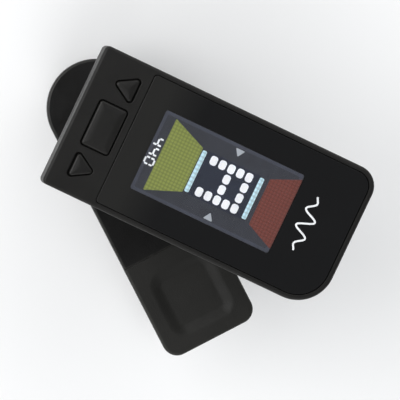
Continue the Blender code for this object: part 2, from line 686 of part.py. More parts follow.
def main():
    clear_scene()
    make_materials()
    rear = empty("clip_pin_axis", None, (0, 0, PIN_Z))
    front = empty("front_jaw_axis", rear, (0, 0, 0), (-CLOSED_ANGLE, 0, 0))
    turn = math.radians(180 + SWIVEL_ANGLE)
    swivel = empty("swivel_axis", front, (0, SWIVEL_Y, PIN_TO_JAW + PADDLE), (0, 0, turn))
    arm_axis = empty("arm_axis", swivel, (0, 0, GAP + BASE_THICK + AXIS_LIFT))
    head = empty("head_axis", arm_axis, (0, 0, ARM_LENGTH))

    jaw("rear_jaw", rear, -1, REAR_WIDTH, REAR_REACH, REAR_EAR_X)
    pad("rear_pad", rear, -1, REAR_WIDTH, REAR_REACH)
    front_body = jaw("front_jaw", front, 1, FRONT_WIDTH, FRONT_REACH, FRONT_EAR_X)
    pad("front_pad", front, 1, FRONT_WIDTH, FRONT_REACH)
    seat = [(0, 1 * MM), (1.5 * MM, 1 * MM), (1.5 * MM, -1.0 * MM), (3.2 * MM, -1.0 * MM),
            (3.2 * MM, -PADDLE - 1 * MM), (0, -PADDLE - 1 * MM)]
    cut(front_body, turned("jaw_screw_seat", seat, swivel, group=CUTTERS))
    outside = FRONT_EAR_X + EAR_THICK / 2 + RUNNING
    pin("clip_pin", PIN_RADIUS, outside, rear, 1.7 * MM, 0.6 * MM)
    torsion_spring(rear)

    turntable(swivel, arm_axis)
    swivel_screw(swivel)
    hinge_arm(arm_axis)
    half = ARM_WIDTH / 2 + GAP + HINGE_EAR_THICK - 0.2 * MM
    pin("base_hinge_pin", HINGE_PIN, half, arm_axis)
    pin("head_hinge_pin", HINGE_PIN, half, head)

    rear_cover(head)
    front_bezel(head)
    case_screws(head)
    buttons(head)
    battery_cap(head)
    coin_cell(head)
    contacts(head)
    circuit(head)
    display(head)


main()
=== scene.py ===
"""The looks of the clip-on tuner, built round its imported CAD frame."""

import json
import math

import bmesh
import bpy
from mathutils import Matrix, Vector


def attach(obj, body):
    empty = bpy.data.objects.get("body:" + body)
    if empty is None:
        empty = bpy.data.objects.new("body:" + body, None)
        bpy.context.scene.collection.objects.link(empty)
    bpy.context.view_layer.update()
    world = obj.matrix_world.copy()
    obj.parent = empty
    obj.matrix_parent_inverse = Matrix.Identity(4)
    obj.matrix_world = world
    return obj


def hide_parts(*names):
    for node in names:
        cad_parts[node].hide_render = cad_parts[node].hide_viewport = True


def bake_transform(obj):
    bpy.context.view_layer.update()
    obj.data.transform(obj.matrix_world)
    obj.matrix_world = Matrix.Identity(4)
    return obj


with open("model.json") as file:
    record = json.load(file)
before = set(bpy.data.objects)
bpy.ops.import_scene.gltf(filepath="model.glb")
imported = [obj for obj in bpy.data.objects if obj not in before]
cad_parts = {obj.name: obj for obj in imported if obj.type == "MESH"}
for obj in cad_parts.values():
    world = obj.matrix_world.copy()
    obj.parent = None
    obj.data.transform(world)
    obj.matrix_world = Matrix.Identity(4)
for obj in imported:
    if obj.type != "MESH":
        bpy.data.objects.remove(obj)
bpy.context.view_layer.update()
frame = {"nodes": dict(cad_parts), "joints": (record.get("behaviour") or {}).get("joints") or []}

MM = 0.001
SUFFIX = "_detail"
PAST = 1 * MM  # how far a cutter reaches beyond the surface that it cuts
WELD = 1e-7  # points nearer than this become one
BROAD_FACE = 8 * MM * MM  # a larger face keeps its corners from looking worn
WEAR_STARTS, WEAR_FULL = 7, 15  # how far a mesh bends at a point, in degrees
JOINTS = {joint["name"]: joint for joint in frame["joints"]}


# Frames: each group of pieces is built in the frame of the joint it turns on


def joint_frame(joint, x_axis, z_axis):
    """A frame on a joint, from the row's directions for its X and its Z."""
    x, z = Vector(x_axis).normalized(), Vector(z_axis).normalized()
    turn = Matrix((x, z.cross(x), z)).transposed().to_4x4()
    return Matrix.Translation(JOINTS[joint]["pos_m"]) @ turn


PIN_AXIS = JOINTS["clip_hinge"]["axis"]
OUTWARD = JOINTS["head_swivel"]["axis"]
HINGE_AXIS = JOINTS["head_tilt"]["axis"]
REAR = joint_frame("clip_hinge", PIN_AXIS, (0, 0, 1))
FRONT = joint_frame("clip_hinge", PIN_AXIS, OUTWARD)
TURN = joint_frame("head_swivel", HINGE_AXIS, OUTWARD)
ARM = joint_frame("arm_fold", HINGE_AXIS, OUTWARD)
HEAD = joint_frame("head_tilt", HINGE_AXIS, -Vector(JOINTS["power_press"]["axis"]))
ACROSS = Matrix(((0, 0, 1, 0), (1, 0, 0, 0), (0, 1, 0, 0), (0, 0, 0, 1)))  # plan XY to side YZ


def extent(node, place):
    """The lowest and highest corner of a CAD node, measured in a frame."""
    to_local = place.inverted()
    points = [to_local @ v.co for v in frame["nodes"][node].data.vertices]
    low = Vector(min(p[i] for p in points) for i in range(3))
    return low, Vector(max(p[i] for p in points) for i in range(3))


# Outlines, as functions of how far they are drawn in


def arc(centre, radius, start, end, steps):
    """Points on an arc between two angles in degrees, both ends included."""
    turns = [math.radians(start + (end - start) * i / steps) for i in range(steps + 1)]
    return [(centre[0] + radius * math.cos(a), centre[1] + radius * math.sin(a)) for a in turns]


def rounded(corners, steps):
    """A closed outline through (x, y, radius) corners, listed anticlockwise, each one rounded."""
    points = []
    for i, (x, y, radius) in enumerate(corners):
        here = Vector((x, y))
        before = (Vector(corners[i - 1][:2]) - here).normalized()
        after = (Vector(corners[(i + 1) % len(corners)][:2]) - here).normalized()
        half = before.angle(after) / 2
        radius = max(radius, 0.02 * MM)
        middle = here + (before + after).normalized() * radius / math.sin(half)
        first = here + before * radius / math.tan(half) - middle
        start = math.degrees(math.atan2(first.y, first.x))
        points += arc(middle, radius, start, start + 180 - math.degrees(2 * half), steps)
    return points


def rectangle(width, height, radius, middle=(0, 0), steps=8):
    """A plan that shrinks on all sides by its inset."""
    signs = ((-1, -1), (1, -1), (1, 1), (-1, 1))

    def plan(inset=0.0):
        x, y = width / 2 - inset, height / 2 - inset
        return rounded([(middle[0] + a * x, middle[1] + b * y, radius - inset) for a, b in signs],
                       steps)

    return plan


def triangle(width, height, radius, middle, up):
    """A plan of a triangle that points along +Y or -Y; its sides shrink evenly."""
    slope = math.atan2(height, width / 2)

    def plan(inset=0.0):
        side = inset / math.tan(slope / 2)
        tip = inset / math.cos(slope)
        x, y = width / 2 - side, height / 2
        base, apex = inset - y, y - tip
        places = [(-x, base), (x, base), (0, apex)]
        if not up:
            places = [(x, -base), (-x, -base), (0, -apex)]
        return rounded([(middle[0] + a, middle[1] + b, radius - inset * 0.6) for a, b in places], 6)

    return plan


# Meshes


def new_object(name, mesh, place):
    """An object in a frame; one that stands for a CAD node has the node's name and a suffix."""
    if name in frame["nodes"]:
        name += SUFFIX
    obj = bpy.data.objects.new(name, mesh)
    obj.matrix_world = place
    bpy.context.scene.collection.objects.link(obj)
    return obj


def to_mesh(name, shape, across=False):
    """The mesh of a bmesh; across lays what was built upright along X."""
    mesh = bpy.data.meshes.new(name)
    shape.to_mesh(mesh)
    shape.free()
    if across:
        mesh.transform(ACROSS)
    return mesh


def bridge(shape, lower, upper):
    """Closes the wall between two rings of as many points."""
    for i in range(len(lower)):
        j = (i + 1) % len(lower)
        shape.faces.new((lower[i], lower[j], upper[j], upper[i]))


def loft(name, plan, profile, place, across=False):
    """A closed body with its plan drawn in as each (inset, height) of its profile says."""
    shape = bmesh.new()
    rings = [[shape.verts.new((x, y, height)) for x, y in plan(inset)] for inset, height in profile]
    for lower, upper in zip(rings, rings[1:]):
        bridge(shape, lower, upper)
    shape.faces.new(rings[0][::-1])
    shape.faces.new(rings[-1])
    return new_object(name, to_mesh(name, shape, across), place)


def quarter_turn(steps):
    return [math.pi / 2 * i / steps for i in range(steps + 1)]


def walls(low, high, under=0.0, over=0.0, steps=6):
    """The profile of an upright wall with a rounded edge at each end."""
    quarter = quarter_turn(steps)
    lower = [(under * (1 - math.sin(a)), low + under * (1 - math.cos(a))) for a in quarter]
    upper = [(over * (1 - math.cos(a)), high - over * (1 - math.sin(a))) for a in quarter]
    return (lower if under else [(0, low)]) + (upper if over else [(0, high)])


def flared(low, high, flare):
    """The profile of a cutter that leaves a rounded lip where it comes out at the top."""
    quarter = quarter_turn(4)
    lip = [(-flare * (1 - math.cos(a)), high - flare * (1 - math.sin(a))) for a in quarter]
    return [(0, low), *lip, (-flare, high + PAST)]


def turned(name, profile, place, steps=64, across=False, middle=(0, 0)):
    """A profile of (radius, height) points, running down its outer side, turned about Z."""
    shape = bmesh.new()
    top = shape.verts.new((*middle, profile[0][1]))
    bottom = shape.verts.new((*middle, profile[-1][1]))
    rings = [[shape.verts.new((x, y, height)) for x, y in arc(middle, radius, 0, 360, steps)[:-1]]
             for radius, height in profile[1:-1]]
    for upper, lower in zip(rings, rings[1:]):
        bridge(shape, lower, upper)
    for i in range(steps):
        j = (i + 1) % steps
        shape.faces.new((top, rings[0][i], rings[0][j]))
        shape.faces.new((bottom, rings[-1][j], rings[-1][i]))
    return new_object(name, to_mesh(name, shape, across), place)


def rim(radius, low, high, under=0.0, over=0.0):
    """A turned profile of a disc or rod with rounded edges, top to bottom."""
    sides = [(radius - inset, height) for inset, height in walls(low, high, under, over, 5)]
    return [(0, high), *reversed(sides), (0, low)]


def applied(obj):
    """A copy of an object's mesh with its modifiers applied."""
    ready = obj.evaluated_get(bpy.context.evaluated_depsgraph_get())
    return bpy.data.meshes.new_from_object(ready)


def combine(obj, tools, operation="DIFFERENCE"):
    """Cuts or joins tools into obj, and removes them."""
    for tool in tools:
        step = obj.modifiers.new("step", "BOOLEAN")
        step.operation = operation
        step.solver = "EXACT"
        step.object = tool
    mesh = applied(obj)
    obj.modifiers.clear()
    obj.data = mesh
    for tool in tools:
        bpy.data.objects.remove(tool)


def join(obj, tools):
    combine(obj, tools, "UNION")


def upside_down(obj):
    obj.data.transform(Matrix.Scale(-1, 4, (0, 0, 1)))
    obj.data.flip_normals()


def tube(name, points, radius, place):
    """A round wire through the points, with closed ends."""
    curve = bpy.data.curves.new(name, "CURVE")
    curve.dimensions = "3D"
    curve.bevel_depth = radius
    curve.bevel_resolution = 4
    curve.use_fill_caps = True
    spline = curve.splines.new("POLY")
    spline.points.add(len(points) - 1)
    for point, spot in zip(spline.points, points):
        point.co = (*spot, 1)
    holder = new_object(name, curve, Matrix.Identity(4))
    mesh = applied(holder)
    bpy.data.objects.remove(holder)
    return new_object(name, mesh, place)


def mark_wear(shape):
    """Stores how sharply each point of a mesh sticks out, for the materials' polished edges."""
    layer = shape.verts.layers.float.new("wear")
    for vert in shape.verts:
        bends = [edge.calc_face_angle_signed(0.0) for edge in vert.link_edges]
        broad = any(face.calc_area() > BROAD_FACE for face in vert.link_faces)
        bend = 0.0 if broad else math.degrees(max(bends, default=0.0))
        worn = (bend - WEAR_STARTS) / (WEAR_FULL - WEAR_STARTS)
        vert[layer] = min(max(worn, 0.0), 1.0)


def done(obj, body, material, sharp=35):
    """Finishes a piece: puts its mesh in the row frame, welds it, shades it and says what it is."""
    obj.data.transform(obj.matrix_world)
    obj.matrix_world = Matrix.Identity(4)
    shape = bmesh.new()
    shape.from_mesh(obj.data)
    bmesh.ops.remove_doubles(shape, verts=shape.verts, dist=WELD)
    bmesh.ops.dissolve_degenerate(shape, edges=shape.edges, dist=WELD)
    mark_wear(shape)
    shape.to_mesh(obj.data)
    shape.free()
    obj.data.shade_smooth()
    obj.data.set_sharp_from_angle(angle=math.radians(sharp))
    normals = obj.modifiers.new("normals", "WEIGHTED_NORMAL")
    normals.keep_sharp = True
    normals.weight = 80
    if material:
        obj.data.materials.clear()
        obj.data.materials.append(material)
    if body:
        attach(obj, body)
    node = obj.name.removesuffix(SUFFIX)
    if node in frame["nodes"]:
        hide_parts(node)
    return obj


# Materials


def put(socket, value):
    """Gives a socket a value, or links another node's output to it."""
    if isinstance(value, bpy.types.NodeSocket):
        socket.id_data.links.new(value, socket)
    else:
        socket.default_value = value


def feed(node, **values):
    """Sets a node's own settings, and its inputs by their names."""
    for key, value in values.items():
        if hasattr(node, key):
            setattr(node, key, value)
        else:
            put(node.inputs[key.replace("_", " ")], value)
    return node


def add_node(tree, kind, **values):
    return feed(tree.nodes.new(kind), **values)


def nodes_of(name):
    """A new material, its node tree and its shader."""
    material = bpy.data.materials.new(name)
    material.use_nodes = True
    tree = material.node_tree
    return material, tree, tree.nodes["Principled BSDF"]


def noise(place, scale, detail=3.0, rough=0.5):
    """A noise pattern; scale is how many features fit in a metre."""
    return add_node(place.id_data, "ShaderNodeTexNoise", Vector=place, Scale=scale, Detail=detail,
                    Roughness=rough).outputs["Fac"]


def spread(value, low, high, start=0.3, end=0.7):
    """Maps a pattern's range onto another."""
    return add_node(value.id_data, "ShaderNodeMapRange", Value=value, From_Min=start, From_Max=end,
                    To_Min=low, To_Max=high).outputs["Result"]


def calculate(operation, *values):
    """Arithmetic on numbers and other nodes' outputs; the first value is an output."""
    node = add_node(values[0].id_data, "ShaderNodeMath", operation=operation)
    for socket, value in zip(node.inputs, values):
        put(socket, value)
    return node.outputs[0]


def tint(factor, dark, light):
    """Goes from one colour to another; each is a colour or another node's output."""
    node = add_node(factor.id_data, "ShaderNodeMix", data_type="RGBA", Factor=factor)
    for socket, value in zip(node.inputs[6:8], (dark, light)):
        put(socket, (*value, 1) if isinstance(value, tuple) else value)
    return node.outputs[2]


def shades(colour, *shares):
    """A colour made darker or lighter by each share."""
    return [tuple(part * share for part in colour) for share in shares]


def bump(shader, height, depth, strength=1.0):
    node = add_node(shader.id_data, "ShaderNodeBump", Height=height, Strength=strength, Distance=depth)
    feed(shader, Normal=node.outputs["Normal"])


def object_place(tree):
    return add_node(tree, "ShaderNodeTexCoord").outputs["Object"]


def place_in(tree, frame_of_piece):
    """The place on a piece, measured in the frame that the piece was built in."""
    return add_node(tree, "ShaderNodeMapping", vector_type="TEXTURE", Vector=object_place(tree),
                    Location=frame_of_piece.translation,
                    Rotation=frame_of_piece.to_euler()).outputs["Vector"]


def along(tree, frame_of_piece, start, end):
    """A value that goes from 0 to 1 between two distances along Y in a piece's frame."""
    parts = add_node(tree, "ShaderNodeSeparateXYZ", Vector=place_in(tree, frame_of_piece))
    return spread(parts.outputs["Y"], 0, 1, start, end)


def moulded(name, colour, roughness, grain=0.16 * MM, depth=0.016 * MM, specular=0.5, smooth=None):
    """Moulded plastic: a fine eroded texture, a cloudy tone, and edges that handling polishes.

    smooth names a frame whose pieces are smoother ahead of the thumb rest, and much darker in colour
    there: partly a smoother finish, partly painted shade of the head above the lever.
    """
    material, tree, shader = nodes_of(name)
    place = object_place(tree)
    dark, light, bare = shades(colour, 0.84, 1.18, 2.4)
    cloud = spread(noise(place, 140, 4), 0, 1)
    patches = spread(noise(place, 700, 4, 0.65), 0.1, 0.8)
    wear = add_node(tree, "ShaderNodeAttribute", attribute_name="wear").outputs["Fac"]
    edge = calculate("MULTIPLY", wear, patches)
    smear = noise(place, 260, 5, 0.65)
    fine = noise(place, 1 / grain, 2, 0.6)
    tone = tint(cloud, dark, light)
    finish = calculate("ADD", spread(smear, roughness - 0.07, roughness + 0.05),
                       spread(fine, -0.04, 0.04))
    finish = calculate("SUBTRACT", finish, spread(edge, 0, EDGE_POLISH, 0, 1))
    if smooth:
        ahead = along(tree, smooth, THUMB_LINE - THUMB_FADE, THUMB_LINE + THUMB_FADE)
        # painted shade: ahead of the thumb rest the colour turns much darker, partly for the smoother
        # finish and partly for the head's shade on the lever
        tone = tint(ahead, tone, tint(cloud, *SMOOTH_SHADED_CLIP))
        finish = calculate("MULTIPLY_ADD", ahead, -SMOOTH_POLISH, finish)
    feed(shader, IOR=PLASTIC_IOR, Specular_IOR_Level=specular, Roughness=finish,
         Base_Color=tint(edge, tone, bare))
    bump(shader, fine, depth)
    return material


def gloss_black(name):
    """Polished acrylic over a black print, with wipe marks; its colour is painted lighter near the
    buttons and fades to deep black, as a painted reflection.
    """
    material, tree, shader = nodes_of(name)
    place = place_in(tree, HEAD)
    deep = tint(noise(place, 90, 3), (0.0024, 0.0024, 0.0027), (0.0038, 0.0038, 0.0041))
    start, end = (HEAD_LOW.y + distance for distance in PAINTED_SHEEN_SPAN)
    # painted reflection: the base colour is lighter near the buttons and fades to deep black further
    # along the head
    tone = tint(along(tree, HEAD, start, end), (0.0115, 0.0113, 0.0105), deep)
    wipes = add_node(tree, "ShaderNodeMapping", Vector=place, Scale=(1, 6, 1), Rotation=(0, 0, 0.5))
    smear = noise(wipes.outputs["Vector"], 220, 5, 0.6)
    feed(shader, IOR=ACRYLIC_IOR, Specular_IOR_Level=0.36, Base_Color=tone,
         Roughness=spread(smear, 0.05, 0.13))
    bump(shader, noise(place, 60, 1), 0.02 * MM, 0.3)
    return material


def clear_window(name):
    """The same acrylic where nothing is printed behind it."""
    material, tree, shader = nodes_of(name)
    smear = noise(object_place(tree), 300, 4)
    feed(shader, IOR=ACRYLIC_IOR, Specular_IOR_Level=0.3, Transmission_Weight=1.0,
         Base_Color=(0.97, 0.98, 1.0, 1), Roughness=spread(smear, 0.0, 0.03))
    return material


def rubber(name, colour):
    """Soft moulded rubber with a fine dusty grain."""
    material, tree, shader = nodes_of(name)
    place = object_place(tree)
    cloud = noise(place, 200, 4)
    fine = noise(place, 7000, 3, 0.7)
    feed(shader, Base_Color=tint(cloud, *shades(colour, 0.75, 1.35)),
         Roughness=spread(fine, 0.78, 0.95), Sheen_Weight=0.15)
    bump(shader, fine, 0.02 * MM)
    return material


def metal(name, colour, roughness, stretch=(1, 1, 12)):
    """Bare metal with turning or drawing lines across the stretched axis."""
    material, tree, shader = nodes_of(name)
    place = object_place(tree)
    lines = add_node(tree, "ShaderNodeMapping", Vector=place, Scale=stretch)
    mark = noise(lines.outputs["Vector"], 900, 4, 0.6)
    cloud = noise(place, 400, 3)
    feed(shader, Metallic=1.0, Base_Color=tint(cloud, *shades(colour, 0.82, 1)),
         Roughness=spread(mark, roughness - 0.08, roughness + 0.1))
    bump(shader, mark, 0.004 * MM)
    return material


def lit(name, colour, grid=0.0, strength=0.55):
    """A lit patch of the screen: an even glow, under a faint grain or a grid of dots."""
    material, tree, shader = nodes_of(name)
    place = place_in(tree, HEAD)
    if grid:
        dark, light = shades(colour, 0.2, 0.6)
        dots = add_node(tree, "ShaderNodeTexVoronoi", Vector=place, Scale=1 / grid, Randomness=0.0)
        factor = spread(dots.outputs["Distance"], 1, 0, 0.25, 0.55)
    else:
        dark, light = shades(colour, 0.3, 0.5)
        factor = spread(noise(place, 500, 2), 0, 1)
    feed(shader, Emission_Color=(*colour, 1), Emission_Strength=strength,
         Specular_IOR_Level=0.05, Base_Color=tint(factor, dark, light),
         Roughness=spread(noise(place, 900, 3), 0.3, 0.45))
    return material


def printed(name, colour):
    """Screen-printed ink: thinner in places, and rougher than the gloss below it."""
    material, tree, shader = nodes_of(name)
    place = place_in(tree, HEAD)
    cover = spread(noise(place, 1500, 4), 0, 1)
    grain = noise(place, 4000, 3)
    feed(shader, Base_Color=tint(cover, *shades(colour, 0.8, 1)), Roughness=spread(grain, 0.4, 0.6))
    bump(shader, grain, 0.004 * MM)
    return material


def board_green(name):
    """Solder mask over copper: lighter where a track runs below it."""
    material, tree, shader = nodes_of(name)
    place = place_in(tree, HEAD)
    tracks = add_node(tree, "ShaderNodeTexBrick", Vector=place, Scale=420, Mortar_Size=0.06,
                      offset=0.35).outputs["Fac"]
    feed(shader, Base_Color=tint(tracks, (0.006, 0.075, 0.03), (0.02, 0.16, 0.06)),
         Roughness=spread(noise(place, 300, 3), 0.25, 0.4))
    bump(shader, tracks, 0.03 * MM)
    return material


def srgb(red, green, blue):
    """A display colour, 0 to 255, as linear light."""
    def linear(value):
        value /= 255
        return value / 12.92 if value <= 0.04045 else ((value + 0.055) / 1.055) ** 2.4

    return tuple(linear(value) for value in (red, green, blue))


PLASTIC_IOR = 1.5
ACRYLIC_IOR = 1.49
EDGE_POLISH = 0.14  # how much less rough a worn edge is
SMOOTH_POLISH = 0.14  # how much less rough a jaw is ahead of its thumb rest
THUMB_LINE = -5.4 * MM  # where the textured thumb rest ends, behind the pin
THUMB_FADE = 0.4 * MM
# colours ahead of the thumb rest: partly a smoother finish, partly painted shade of the head above the
# lever
SMOOTH_SHADED_CLIP = ((0.0007, 0.0006, 0.0005), (0.0014, 0.0012, 0.001))
HEAD_LOW, HEAD_HIGH = extent("front_bezel", HEAD)
PAINTED_SHEEN_SPAN = (13.5 * MM, 21.0 * MM)  # from the square end: where the painted reflection on the window fades to deep black
HOUSING = moulded("housing_plastic", (0.0056, 0.0053, 0.0048), 0.48, specular=0.2)
FRONT_CLIP, REAR_CLIP = (
    moulded(name, (0.0094, 0.0091, 0.0079), 0.54, 0.24 * MM, 0.028 * MM, 0.25, place)
    for name, place in (("front_clip_plastic", FRONT), ("rear_clip_plastic", REAR)))
HINGE = moulded("hinge_plastic", (0.009, 0.0088, 0.0085), 0.42, 0.14 * MM, 0.01 * MM, 0.35)
KEYS = moulded("button_plastic", (0.0054, 0.0051, 0.0046), 0.44, 0.12 * MM, 0.01 * MM, 0.22)
WINDOW = gloss_black("window_acrylic")
CLEAR = clear_window("window_clear")
PAD = rubber("pad_rubber", (0.016, 0.016, 0.016))
STRIP = rubber("connector_rubber", (0.09, 0.09, 0.1))
STEEL = metal("pin_steel", (0.62, 0.62, 0.63), 0.28)
SPRING = metal("spring_steel", (0.5, 0.5, 0.52), 0.3, (1, 1, 1))
CELL = metal("cell_steel", (0.72, 0.72, 0.7), 0.25, (8, 8, 1))
BRASS = metal("contact_brass", (0.72, 0.5, 0.2), 0.25, (1, 8, 1))
BOARD = board_green("circuit_board")
EPOXY = moulded("chip_epoxy", (0.012, 0.012, 0.012), 0.6, 0.05 * MM, 0.004 * MM)
DIFFUSER = moulded("backlight_plastic", (0.75, 0.75, 0.72), 0.4, 0.3 * MM, 0.006 * MM)
INK = printed("white_ink", srgb(226, 228, 230))


# Clip


EARS_LOW, JAW_TOP = (corner.z for corner in extent("front_jaw", FRONT))
PAD_FACE, PAD_FOOT = (corner.z for corner in extent("front_pad", FRONT))
JAW_FACE = PAD_FOOT + 0.3 * MM
PADDLE = JAW_TOP - JAW_FACE
LEVER_CORNER = 2.7 * MM
PAD_CORNER = 1.2 * MM
EAR_RADIUS = -EARS_LOW
EAR_FOOT = 11.0 * MM
EAR_THICK = 1.5 * MM
EAR_EDGE = 0.3 * MM
PIN_HOLE = 1.1 * MM
RIBS_X = (5.6 * MM, 2.0 * MM)
RIB_SIZE = (0.8 * MM, 14.0 * MM)
RIB_MIDDLE = -14.6 * MM
RIB_RISE = 0.5 * MM
SWIVEL_SHANK = 1.5 * MM
SWIVEL_HEAD = 3.2 * MM
EAR_X = {1: 6.75 * MM, -1: 4.95 * MM}  # middle of each jaw's ears: front outside, rear inside
THUMB_INSET = 2.4 * MM
THUMB_LENGTH = 13.2 * MM
THUMB_DEPTH = 0.5 * MM
DISH_SLOPE = 2.4 * MM


def tongue_plan(low, high, radius):
    """The plan of a jaw or a pad: two small corners behind, and a round tip."""
    def plan(inset=0.0):
        x, y = high.x - inset, low.y + inset
        corner = max(radius - inset, 0.1 * MM)
        tip = (0, high.y - high.x)
        return (arc((-x + corner, y + corner), corner, 180, 270, 10)
                + arc((x - corner, y + corner), corner, 270, 360, 10) + arc(tip, x, 0, 180, 60))

    return plan


def ear_plan(inset=0.0):
    """A side view of an ear: a round end about the pin, tangent to its foot on the jaw."""
    radius = EAR_RADIUS - inset
    foot = (EAR_FOOT / 2 - inset, JAW_FACE + PADDLE / 3)
    touch = math.atan2(foot[1], foot[0]) - math.acos(radius / math.hypot(*foot))
    touch = math.degrees(touch)
    return [(-foot[0], foot[1]), *arc((0, 0), radius, 180 - touch, 360 + touch, 30), foot]


def jaw(name, place, body, side):
    """A jaw is built as it lies in front; the rear one is then turned upside down."""
    low, high = extent(name, place)
    plan = tongue_plan(low, high, LEVER_CORNER)
    edges = walls(JAW_FACE, JAW_TOP, under=0.35 * MM, over=0.5 * MM)
    obj = loft(name, plan, edges, place)
    tools = []
    for sign in (-1, 1):
        middle = sign * EAR_X[side]
        edges = walls(middle - EAR_THICK / 2, middle + EAR_THICK / 2, EAR_EDGE, EAR_EDGE, 4)
        tools.append(loft("ear", ear_plan, edges, place, across=True))
        for rib in RIBS_X:
            bar = rectangle(*RIB_SIZE, 0.35 * MM, (sign * rib, RIB_MIDDLE), 4)
            rise = walls(JAW_FACE - RIB_RISE, JAW_FACE + RIB_RISE, under=0.25 * MM)
            tools.append(loft("rib", bar, rise, place))
    join(obj, tools)
    middle = (0, low.y + THUMB_INSET + THUMB_LENGTH / 2)
    width = 2 * (high.x - THUMB_INSET)
    dish = rectangle(width, THUMB_LENGTH, 3.0 * MM, middle)
    shares = [i / 10 for i in range(11)]
    slope = [(DISH_SLOPE * (1 - t), JAW_TOP - THUMB_DEPTH * (1 - t * t * (3 - 2 * t))) for t in shares]
    cutters = [loft("dish", dish, [*slope, (-0.3 * MM, JAW_TOP + PAST)], place)]
    line = rectangle(2 * (high.x + PAST), 0.3 * MM, 0.1 * MM, (0, THUMB_LINE), 3)
    cutters.append(loft("line", line, flared(JAW_TOP - 0.15 * MM, JAW_TOP, 0.08 * MM), place))
    hole = rim(PIN_HOLE, -10 * MM, 10 * MM)
    cutters.append(turned("hole", hole, place, 40, across=True))
    if side > 0:
        spot = place.inverted() @ Vector(JOINTS["head_swivel"]["pos_m"])
        top, step, bottom = spot.z + PAST, spot.z - 1.0 * MM, JAW_FACE - PAST
        bore = [(0, top), (SWIVEL_SHANK, top), (SWIVEL_SHANK, step), (SWIVEL_HEAD, step),
                (SWIVEL_HEAD, bottom), (0, bottom)]
        cutters.append(turned("seat", bore, place, 40, middle=(spot.x, spot.y)))
    combine(obj, cutters)
    if side < 0:
        upside_down(obj)
    done(obj, body, FRONT_CLIP if side > 0 else REAR_CLIP)


def pad(name, place, body, side):
    """A rubber pad with grooves across its gripping face."""
    low, high = extent(name, place)
    edges = walls(PAD_FACE, JAW_FACE - 0.03 * MM, under=0.45 * MM, over=0.1 * MM)
    obj = loft(name, tongue_plan(low, high, PAD_CORNER), edges, place)
    groove, pitch, depth = 0.45 * MM, 2.6 * MM, 0.55 * MM
    bars = []
    for i in range(int((high.y - low.y) / pitch)):
        y = low.y + pitch * (i + 0.9)
        bar = rectangle(2 * (high.x + PAST), 2 * groove, groove * 0.9, (0, y), 6)
        cut = [(0, PAD_FACE - PAST), (0, PAD_FACE + depth / 2), (groove * 0.5, PAD_FACE + depth)]
        bars.append(loft("groove", bar, cut, place))
    combine(obj, bars)
    if side < 0:
        upside_down(obj)
    done(obj, body, PAD, 50)


def clip_pin():
    high = extent("clip_pin", REAR)[1]
    head, cap = high.z, 0.6 * MM
    shank, end = 1.0 * MM, high.x
    dome = [(head * math.sin(a), end - cap * (1 - math.cos(a)) * 0.9)
            for a in (math.radians(10 * i) for i in range(10))]
    inner = end - cap
    profile = [(0, end), *dome[1:], (head, inner), (shank, inner), (shank, -inner),
               (head, -inner), *[(r, -h) for r, h in reversed(dome[1:])], (0, -end)]
    obj = turned("clip_pin", profile, REAR, 48, across=True)
    done(obj, "rear_clip", STEEL)


def torsion_spring():
    """A coil on the pin, which winds up between its two legs as the jaws open."""
    wire = 0.45 * MM
    half = extent("torsion_spring", REAR)[1].x - wire
    coil, turns, leg = 2.2 * MM, 5, 15.0 * MM
    shut = math.atan2(OUTWARD[1], OUTWARD[2])
    reach = JAW_FACE - 0.3 * MM - wire
    rise = math.asin(reach / math.hypot(leg, coil)) - math.atan(coil / leg)
    rear, front = math.pi + rise, math.pi - rise - shut
    start, end = rear + math.pi / 2, front - math.pi / 2
    sweep = end - start - 2 * math.pi * turns
    count = 40 * turns
    points = []
    for i in range(count + 1):
        angle = start + sweep * i / count
        points.append((half * (2 * i / count - 1), coil * math.cos(angle), coil * math.sin(angle)))
    for index, angle in ((0, rear), (-1, front)):
        x, y, z = points[index]
        run = [(x, y + leg * s * math.cos(angle), z + leg * s * math.sin(angle))
               for s in (1.0, 0.66, 0.33)]
        points = run + points if index == 0 else points + run[::-1]
    obj = done(tube("torsion_spring", points, wire, REAR), None, SPRING, 60)
    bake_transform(obj)


# Turntable and arm


BASE_LOW, BASE_HIGH = extent("swivel_base", TURN)
ARM_HIGH = extent("hinge_arm", ARM)[1]
BARREL = ARM_HIGH.y
ARM_LENGTH = ARM_HIGH.z - BARREL
EAR_GAP = 0.3 * MM
HINGE_EAR = 2.4 * MM
HINGE_PIN = 0.9 * MM


def barrel_plan(rise):
    """A hinge ear: round about the pin, straight down to its foot."""
    def plan(inset=0.0):
        radius = BARREL - inset
        return [(-radius, -rise), (radius, -rise), *arc((0, 0), radius, 0, 180, 32)]

    return plan


def pin_hole(place):
    """A cutter for the hole of a hinge pin."""
    return turned("hole", rim(HINGE_PIN + 0.05 * MM, -9 * MM, 9 * MM), place, 40, across=True)


def both_sides(name, plan, near, far, place):
    """A straight cutter on each side, between two distances along X."""
    cutters = []
    for sign in (-1, 1):
        low, high = sorted((sign * near, sign * far))
        cutters.append(loft(name, plan, [(0, low), (0, high)], place, across=True))
    return cutters


def hinge_ears(place, rise, side):
    """Two ears with a pin hole; side is 1 where they stand on a face below the axis."""
    ears = []
    for sign in (-1, 1):
        inner = sign * (ARM_HIGH.x + EAR_GAP)
        low, high = sorted((inner, inner + sign * HINGE_EAR))
        ear = loft("ear", barrel_plan(rise), walls(low, high, 0.3 * MM, 0.3 * MM, 4), place,
                   across=True)
        if side < 0:
            upside_down(ear)
        ears.append(ear)
    return ears


